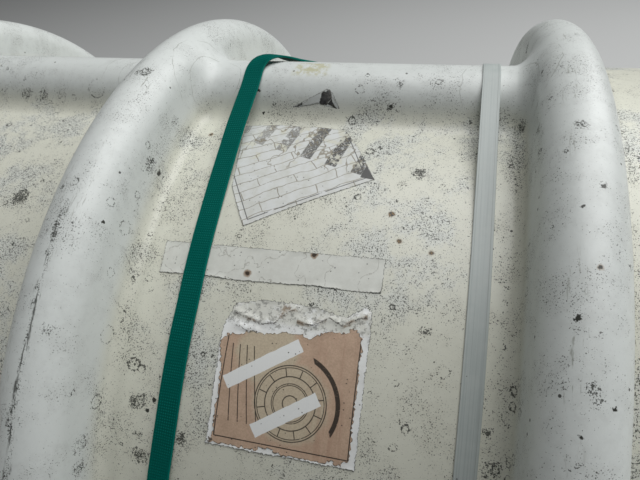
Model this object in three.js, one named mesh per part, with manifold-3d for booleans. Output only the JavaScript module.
// A packed life raft in its ribbed fibreglass container.
// Millimetres, +X along the container, +Z up, origin on the floor under its middle.
import * as THREE from 'three';
import { mergeVertices } from 'three/addons/utils/BufferGeometryUtils.js';
import Module from 'manifold-3d';

const wasm = await Module();
wasm.setup();

// Driving dimensions of the barrel
const ribSpacing = 320;
const ribCrestRadius = 388;
const ribHalfWidth = 24;
const ribFootFillet = 9;
const ribDraft = 5;
const bayRadius = 330;
const endRadius = 347;
const endLength = 685;
const endCornerRadius = 110;
const endCrown = 16;
const wall = 6;
const facetsAround = 40;
const facetAngle = 2 * Math.PI / facetsAround;

// Steps of the round stretches, on the outside and on the inside
const outerSteps = { rib: 6, fillet: 2, corner: 4, bead: 8 };
const innerSteps = { rib: 4, fillet: 1, corner: 3, bead: 6 };
const plateCornerSteps = 6;

// Driving dimensions of the crown bead between the ribs
const beadRadius = 34;
const beadCentreRadius = 330;
const beadFillet = 13;
const beadFootRadius = 264;

// Driving dimensions of the seam
const flangeHalfWidth = 406;
const flangeHalfLength = 725;
const flangeCorner = 150;
const flangeThickness = 6;
const gasketHalfHeight = 2;
const gasketWidth = 15;
const gasketProud = 1.5;

// Driving dimensions of the feet under the ribs
const footHeight = 14;
const footInner = 90;
const footOuter = 200;
const footHalfLength = 42;
const footDraft = 9;
const footRootDepth = 231;

// Driving dimensions of the bands and of the clearances
const bandWidth = 13.5;
const bandThickness = 1.2;
const strapWidth = 16;
const strapThickness = 1.6;
const sealLength = 32;
const sealProud = 1.2;
const sealOverhang = 1.5;
const sealDrop = 60;
const fitGap = 0.3;
const labelThickness = 0.6;
const strapGap = labelThickness + 2 * fitGap;
const axisHeight = ribCrestRadius + footHeight;
const large = 1000;

// Materials
const paint = (color, roughness, metalness = 0) => new THREE.MeshStandardMaterial({ color, roughness, metalness });
const gelcoat = paint(0xd9dad2, 0.42);
const blackRubber = paint(0x1b1c1c, 0.75);
const packedFabric = paint(0xc4581c, 0.85);
const greyBand = paint(0x9aa09c, 0.4);
const greenWeb = paint(0x0f5855, 0.7);
const crimpSteel = paint(0xb4b6b6, 0.35, 1);
const labelFilm = paint(0xd6d3c0, 0.6);
const brownFilm = paint(0x8d6b45, 0.6);

// Turns a three.js geometry into a solid that can be joined and cut
function solid(geometry) {
  const shape = geometry.clone();
  shape.deleteAttribute('normal');
  shape.deleteAttribute('uv');
  const merged = mergeVertices(shape, 1e-4);
  const index = merged.index.array;
  const triangles = [];
  for (let i = 0; i < index.length; i += 3) {
    const [a, b, c] = [index[i], index[i + 1], index[i + 2]];
    if (a !== b && b !== c && c !== a) triangles.push(a, b, c);
  }
  const mesh = new wasm.Mesh({
    numProp: 3,
    vertProperties: new Float32Array(merged.attributes.position.array),
    triVerts: new Uint32Array(triangles),
  });
  return new wasm.Manifold(mesh);
}

// Turns a solid back into a three.js geometry
function geometryOf(manifold) {
  const mesh = manifold.getMesh();
  const geometry = new THREE.BufferGeometry();
  geometry.setAttribute('position', new THREE.BufferAttribute(new Float32Array(mesh.vertProperties), 3));
  geometry.setIndex(new THREE.BufferAttribute(new Uint32Array(mesh.triVerts), 1));
  geometry.computeVertexNormals();
  return geometry;
}

// An arc as points, from one angle to another, in degrees
function arc(cx, cy, radius, from, to, steps) {
  const points = [];
  for (let i = 0; i <= steps; i += 1) {
    const angle = THREE.MathUtils.degToRad(from + (to - from) * i / steps);
    points.push(new THREE.Vector2(cx + radius * Math.cos(angle), cy + radius * Math.sin(angle)));
  }
  return points;
}

// A solid of revolution about the container's axis, from points of (x, radius)
function revolve(points, segments = facetsAround) {
  const profile = points.map((p) => new THREE.Vector2(p.y, p.x));
  const geometry = new THREE.LatheGeometry(profile, segments);
  geometry.rotateZ(-Math.PI / 2);
  return geometry;
}

// A solid with an outline in (y, z) that runs from one x to another
function alongX(outline, fromX, toX) {
  const geometry = new THREE.ExtrudeGeometry(new THREE.Shape(outline), {
    depth: toX - fromX, bevelEnabled: false,
  });
  const turn = new THREE.Matrix4().makeBasis(
    new THREE.Vector3(0, 1, 0), new THREE.Vector3(0, 0, 1), new THREE.Vector3(1, 0, 0));
  geometry.applyMatrix4(turn);
  geometry.translate(fromX, 0, 0);
  return geometry;
}

// Ribs as rows of centre, and the radius of the wall on each side
const ribs = [
  { x: -ribSpacing, leftRadius: endRadius, rightRadius: bayRadius },
  { x: 0, leftRadius: bayRadius, rightRadius: bayRadius },
  { x: ribSpacing, leftRadius: bayRadius, rightRadius: endRadius },
];

// Where the fillet at a rib's foot has its centre, from the rib's middle and from the axis
const ribCrestCentre = ribCrestRadius - ribHalfWidth;
function ribFootCentre(wallRadius) {
  const draft = THREE.MathUtils.degToRad(ribDraft);
  const height = wallRadius + ribFootFillet;
  const away = ribHalfWidth + ribFootFillet + Math.sin(draft) * (ribCrestCentre - height);
  return [away / Math.cos(draft), height];
}

// The barrel's profile, moved inwards by inset for the inside of its wall
function barrelProfile(inset, steps) {
  const cornerX = endLength - endCornerRadius;
  const cornerCentre = endRadius - endCornerRadius;
  const cornerArc = endCornerRadius - inset;
  const endTip = endLength + endCrown - inset;
  const midTip = endLength + endCrown * 0.75 - inset;
  const points = [new THREE.Vector2(-endTip, 0), new THREE.Vector2(-midTip, cornerCentre / 2)];
  points.push(...arc(-cornerX, cornerCentre, cornerArc, 180, 90, steps.corner));
  for (const rib of ribs) {
    const filletArc = ribFootFillet + inset;
    const [leftX, leftY] = ribFootCentre(rib.leftRadius);
    const [rightX, rightY] = ribFootCentre(rib.rightRadius);
    points.push(...arc(rib.x - leftX, leftY, filletArc, 270, 360 - ribDraft, steps.fillet));
    points.push(...arc(rib.x, ribCrestCentre, ribHalfWidth - inset, 180 - ribDraft, ribDraft, steps.rib));
    points.push(...arc(rib.x + rightX, rightY, filletArc, 180 + ribDraft, 270, steps.fillet));
  }
  points.push(...arc(cornerX, cornerCentre, cornerArc, 90, 0, steps.corner));
  points.push(new THREE.Vector2(midTip, cornerCentre / 2), new THREE.Vector2(endTip, 0));
  return points;
}

// The crown bead's outline in (y, z), moved inwards by inset
function beadOutline(inset, steps) {
  const round = beadRadius - inset;
  const fillet = beadFillet + inset;
  const toBead = beadRadius + beadFillet;
  const toAxis = bayRadius + beadFillet;
  const lift = (toAxis ** 2 - toBead ** 2 + beadCentreRadius ** 2) / (2 * beadCentreRadius);
  const side = Math.sqrt(toAxis ** 2 - lift ** 2);
  const atBead = THREE.MathUtils.radToDeg(Math.atan2(lift - beadCentreRadius, side));
  const atWall = THREE.MathUtils.radToDeg(Math.atan2(lift, side));
  const rightFillet = arc(side, lift, fillet, 180 + atWall, 180 + atBead, steps.fillet);
  const crest = arc(0, beadCentreRadius, round, atBead, 180 - atBead, steps.bead);
  const leftFillet = arc(-side, lift, fillet, 360 - atBead, 360 - atWall, steps.fillet);
  return [
    new THREE.Vector2(-side, beadFootRadius), new THREE.Vector2(side, beadFootRadius),
    ...rightFillet, ...crest.slice(1, -1), ...leftFillet,
  ];
}

// A moulded foot's outline in (y, z), on the side given by its sign
function footOutline(side, inset) {
  const floor = -axisHeight + inset;
  const points = [
    [footInner + inset - footDraft, -footRootDepth], [footInner + inset, floor],
    [footOuter - inset - footDraft, floor], [footOuter - inset, -footRootDepth],
  ].map(([y, z]) => new THREE.Vector2(side * y, z));
  return side > 0 ? points : points.reverse();
}

// A flat plate with round corners in plan, between two heights
function roundPlate(halfLength, halfWidth, corner, low, high) {
  const outline = [
    ...arc(halfLength - corner, halfWidth - corner, corner, 0, 90, plateCornerSteps),
    ...arc(-halfLength + corner, halfWidth - corner, corner, 90, 180, plateCornerSteps),
    ...arc(-halfLength + corner, -halfWidth + corner, corner, 180, 270, plateCornerSteps),
    ...arc(halfLength - corner, -halfWidth + corner, corner, 270, 360, plateCornerSteps),
  ];
  const geometry = new THREE.ExtrudeGeometry(new THREE.Shape(outline), {
    depth: high - low, bevelEnabled: false,
  });
  geometry.translate(0, 0, low);
  return geometry;
}

// A box between two heights, wider than the container
function slab(low, high) {
  const geometry = new THREE.BoxGeometry(2 * large, 2 * large, high - low);
  geometry.translate(0, 0, (low + high) / 2);
  return solid(geometry);
}

// Upper and lower shell, each a hollow half of the barrel with its seam flange
const barrelOutside = solid(revolve(barrelProfile(0, outerSteps)));
const barrelInside = solid(revolve(barrelProfile(wall, innerSteps)));
const beadOutside = solid(alongX(beadOutline(0, outerSteps), -ribSpacing, ribSpacing));
const beadInside = solid(alongX(beadOutline(wall, innerSteps), -ribSpacing, ribSpacing));
const seamTop = gasketHalfHeight;
const flangeTop = seamTop + flangeThickness;
const upperFlange = solid(roundPlate(flangeHalfLength, flangeHalfWidth, flangeCorner, seamTop, flangeTop));
const lowerFlange = solid(roundPlate(flangeHalfLength, flangeHalfWidth, flangeCorner, -flangeTop, -seamTop));

const upperShell = barrelOutside.add(beadOutside).intersect(slab(seamTop, large)).add(upperFlange)
  .subtract(barrelInside).subtract(beadInside);

let lowerOutside = barrelOutside;
let lowerInside = barrelInside;
for (const rib of ribs) {
  for (const side of [-1, 1]) {
    const outside = alongX(footOutline(side, 0), rib.x - footHalfLength, rib.x + footHalfLength);
    const insideHalf = footHalfLength - wall;
    const inside = alongX(footOutline(side, wall), rib.x - insideHalf, rib.x + insideHalf);
    lowerOutside = lowerOutside.add(solid(outside));
    lowerInside = lowerInside.add(solid(inside));
  }
}

// Painter gland on the end, on a round moulded boss
const glandDrop = 95;
const bossRadius = 40;
const bossFace = endLength + endCrown;
const bossRoot = endLength - 3 * wall;
const glandHole = 18;
const glandFacets = 16;
function endCylinder(radius, fromX, toX, segments) {
  const geometry = new THREE.CylinderGeometry(radius, radius, toX - fromX, segments);
  geometry.rotateZ(-Math.PI / 2);
  geometry.translate((fromX + toX) / 2, 0, -glandDrop);
  return geometry;
}
lowerOutside = lowerOutside.add(solid(endCylinder(bossRadius, bossRoot, bossFace, 1.5 * glandFacets)));

// Drain plugs under the two bays, each square to one facet of the wall
const drainHole = 9;
const drainDrillLength = 60;
const drainTurn = facetAngle / 2;
const drainWallRadius = bayRadius * Math.cos(facetAngle / 2);
function underWall(geometry, x) {
  geometry.rotateX(Math.PI / 2 + drainTurn);
  geometry.translate(x, 0, 0);
  return geometry;
}
function drainDrill(x) {
  const geometry = new THREE.CylinderGeometry(drainHole, drainHole, drainDrillLength, glandFacets);
  geometry.translate(0, -bayRadius, 0);
  return solid(underWall(geometry, x));
}

const drains = [-ribSpacing / 2, ribSpacing / 2];
let lowerShell = lowerOutside.intersect(slab(-large, -seamTop)).add(lowerFlange).subtract(lowerInside);
lowerShell = lowerShell.subtract(solid(endCylinder(glandHole, bossRoot - 2 * wall, large, glandFacets)));
for (const x of drains) lowerShell = lowerShell.subtract(drainDrill(x));

// Seam gasket, a rubber strip that stands slightly proud of the flanges
const gasketHigh = gasketHalfHeight - fitGap;
const gasketOutside = roundPlate(
  flangeHalfLength + gasketProud, flangeHalfWidth + gasketProud, flangeCorner + gasketProud,
  -gasketHigh, gasketHigh);
const gasketInside = roundPlate(
  flangeHalfLength - gasketWidth, flangeHalfWidth - gasketWidth, flangeCorner - gasketWidth,
  -large, large);
const seamGasket = solid(gasketOutside).subtract(solid(gasketInside));

// The raft itself, folded tight and closed in, as one plain block
const packedHalfLength = 610;
const packedRadius = bayRadius - wall - fitGap;
const packedRaft = solid(revolve([
  new THREE.Vector2(-packedHalfLength, 0), new THREE.Vector2(-packedHalfLength, packedRadius),
  new THREE.Vector2(packedHalfLength, packedRadius), new THREE.Vector2(packedHalfLength, 0),
]));

// The painter gland, a closed rubber boot pushed through the end, as rows of radius and height over the boss
const glandStem = glandHole - fitGap;
const glandProfile = [
  [0, -16], [glandStem, -16], [glandStem, fitGap], [32, fitGap], [32, 4], [20, 7], [17, 18], [13, 21], [0, 21],
];
const glandPoints = glandProfile.map(([radius, height]) => new THREE.Vector2(radius, bossFace + height));
const painterGland = new THREE.LatheGeometry(glandPoints, glandFacets);
painterGland.rotateZ(-Math.PI / 2);
painterGland.translate(0, 0, -glandDrop);

// A drain plug, a rubber mushroom with its stem in the wall, as rows of radius and height over the wall
const plugStem = drainHole - fitGap;
const plugProfile = [[0, -5], [plugStem, -5], [plugStem, fitGap], [16, fitGap], [16, 3], [13, 5], [0, 5]];
function drainPlug(x) {
  const points = plugProfile.map(([radius, height]) => new THREE.Vector2(radius, -drainWallRadius - height));
  return underWall(new THREE.LatheGeometry(points.reverse(), glandFacets), x);
}

// Convex outline round a set of (y, z) points, anticlockwise
function hull(points) {
  const sorted = [...points].sort((a, b) => a.x - b.x || a.y - b.y);
  const turn = (o, a, b) => (a.x - o.x) * (b.y - o.y) - (a.y - o.y) * (b.x - o.x);
  const half = (list) => {
    const chain = [];
    for (const p of list) {
      while (chain.length > 1 && turn(chain.at(-2), chain.at(-1), p) <= 1e-6) chain.pop();
      chain.push(p);
    }
    return chain.slice(0, -1);
  };
  return [...half(sorted), ...half(sorted.reverse())];
}

// The outline moved outwards by a distance, corner by corner
function offset(outline, distance) {
  const count = outline.length;
  return outline.map((point, i) => {
    const before = point.clone().sub(outline[(i + count - 1) % count]).normalize();
    const after = outline[(i + 1) % count].clone().sub(point).normalize();
    const normal = new THREE.Vector2(before.y + after.y, -before.x - after.x).normalize();
    const square = normal.dot(new THREE.Vector2(before.y, -before.x));
    return point.clone().addScaledVector(normal, distance / square);
  });
}

// What a band lies on: the wall, the crown bead if there is one, and the seam
function bandSeat(wallRadius, withBead) {
  const points = arc(0, 0, wallRadius, 0, 360, facetsAround).slice(1);
  if (withBead) points.push(...beadOutline(0, outerSteps).slice(2));
  const edge = flangeHalfWidth + gasketProud;
  for (const side of [-1, 1]) {
    for (const up of [-1, 1]) {
      points.push(new THREE.Vector2(side * flangeHalfWidth, up * flangeTop));
      points.push(new THREE.Vector2(side * edge, up * gasketHigh));
    }
  }
  return hull(points);
}

// A closed flat band round the container, whose x may change on its way round
function bandLoop(seat, gap, width, thickness, route) {
  const rings = [offset(seat, gap), offset(seat, gap + thickness)];
  const positions = [];
  const index = [];
  const count = seat.length;
  for (let i = 0; i < count; i += 1) {
    const x = route(Math.atan2(-seat[i].x, seat[i].y));
    for (const [ring, side] of [[0, -1], [0, 1], [1, 1], [1, -1]]) {
      positions.push(x + side * width / 2, rings[ring][i].x, rings[ring][i].y);
    }
  }
  for (let i = 0; i < count; i += 1) {
    const next = (i + 1) % count;
    for (let k = 0; k < 4; k += 1) {
      const [a, b] = [4 * i + k, 4 * i + (k + 1) % 4];
      const [c, d] = [4 * next + (k + 1) % 4, 4 * next + k];
      index.push(a, b, c, a, c, d);
    }
  }
  const geometry = new THREE.BufferGeometry();
  geometry.setAttribute('position', new THREE.BufferAttribute(new Float32Array(positions), 3));
  geometry.setIndex(index);
  geometry.computeVertexNormals();
  return geometry;
}

// Packing bands as rows of name, place along the container, wall radius and crown bead
const bands = [
  { name: 'left_end', x: -470, wallRadius: endRadius, bead: false },
  { name: 'left_bay', x: -269, wallRadius: bayRadius, bead: true },
  { name: 'right_bay', x: 269, wallRadius: bayRadius, bead: true },
  { name: 'right_end', x: 470, wallRadius: endRadius, bead: false },
];

// The green strap's route as rows of angle from the crown to the front, in degrees, and x
const strapRoute = [
  [-180, 128], [-90, 172], [-24, 148], [-4, 124], [0.5, 78], [4, 69], [29, 74], [58, 72], [90, 69], [180, 128],
];
function strapX(angle) {
  const degrees = THREE.MathUtils.radToDeg(angle);
  const next = strapRoute.findIndex(([at]) => at >= degrees);
  const [toAngle, toX] = strapRoute[Math.max(next, 1)];
  const [fromAngle, fromX] = strapRoute[Math.max(next, 1) - 1];
  return fromX + (toX - fromX) * (degrees - fromAngle) / (toAngle - fromAngle);
}

// A folded crimp seal on a band's straight run below the seam, on the far side
function crimpSeal(seat, gap, x, width, thickness) {
  const start = seat.findIndex((p) => Math.abs(p.x - flangeHalfWidth) < 1e-3 && p.y < 0);
  const corner = seat[start];
  const before = seat[(start + seat.length - 1) % seat.length];
  const along = before.clone().sub(corner).normalize();
  const out = new THREE.Vector2(-along.y, along.x);
  const middle = corner.clone().addScaledVector(along, sealDrop)
    .addScaledVector(out, gap + thickness + fitGap + sealProud / 2);
  const geometry = new THREE.BoxGeometry(width + 2 * sealOverhang, sealLength, sealProud);
  geometry.applyMatrix4(new THREE.Matrix4().makeBasis(
    new THREE.Vector3(1, 0, 0), new THREE.Vector3(0, along.x, along.y), new THREE.Vector3(0, -along.y, along.x)));
  geometry.translate(x, middle.x, middle.y);
  return geometry;
}

// Labels as rows of name, colour and corners of (x, angle from the crown to the front in degrees)
const labels = [
  {
    name: 'crown_label', material: labelFilm,
    corners: [[70, 8.5], [159, 8.5], [190, 17.6], [102, 26.4], [78, 18.2]],
  },
  { name: 'narrow_label', material: labelFilm, corners: [[47, 29.6], [207, 29.2], [207, 33.1], [48, 33.7]] },
  { name: 'square_label', material: brownFilm, corners: [[108, 36.4], [202, 35.4], [204, 52.4], [103, 52.7]] },
];
const labelFrom = 8;
function labelPatch(corners) {
  const inside = bayRadius + fitGap;
  const layer = solid(revolve([
    new THREE.Vector2(labelFrom, 0), new THREE.Vector2(labelFrom, inside + labelThickness),
    new THREE.Vector2(ribSpacing, inside + labelThickness), new THREE.Vector2(ribSpacing, 0),
  ])).subtract(solid(revolve([
    new THREE.Vector2(-large, 0), new THREE.Vector2(-large, inside),
    new THREE.Vector2(large, inside), new THREE.Vector2(large, 0),
  ])));
  const middle = corners.reduce((sum, [, angle]) => sum + angle, 0) / corners.length;
  const outline = corners.map(([x, angle]) => new THREE.Vector2(
    x, bayRadius * THREE.MathUtils.degToRad(middle - angle)));
  const prism = new THREE.ExtrudeGeometry(new THREE.Shape(outline.reverse()), {
    depth: ribSpacing, bevelEnabled: false,
  });
  prism.translate(0, 0, bayRadius - ribSpacing / 2);
  prism.rotateX(THREE.MathUtils.degToRad(middle));
  return geometryOf(layer.intersect(solid(prism)));
}

// The assembly, raised so that the feet stand on the floor
const container = new THREE.Group();
container.name = 'life_raft_container';
container.position.z = axisHeight;
function add(name, geometry, material) {
  const mesh = new THREE.Mesh(geometry, material);
  mesh.name = name;
  container.add(mesh);
}

add('upper_shell', geometryOf(upperShell), gelcoat);
add('lower_shell', geometryOf(lowerShell), gelcoat);
add('seam_gasket', geometryOf(seamGasket), blackRubber);
add('packed_raft', geometryOf(packedRaft), packedFabric);
add('painter_gland', painterGland, blackRubber);
drains.forEach((x, i) => add(`drain_plug_${i + 1}`, drainPlug(x), blackRubber));
for (const band of bands) {
  const seat = bandSeat(band.wallRadius, band.bead);
  add(`packing_band_${band.name}`, bandLoop(seat, fitGap, bandWidth, bandThickness, () => band.x), greyBand);
  add(`band_seal_${band.name}`, crimpSeal(seat, fitGap, band.x, bandWidth, bandThickness), crimpSteel);
}
const strapSeat = bandSeat(bayRadius, true);
add('green_strap', bandLoop(strapSeat, strapGap, strapWidth, strapThickness, strapX), greenWeb);
const sealX = strapX(-Math.PI / 2);
add('strap_seal', crimpSeal(strapSeat, strapGap, sealX, strapWidth, strapThickness), crimpSteel);
for (const label of labels) add(label.name, labelPatch(label.corners), label.material);

export default container;
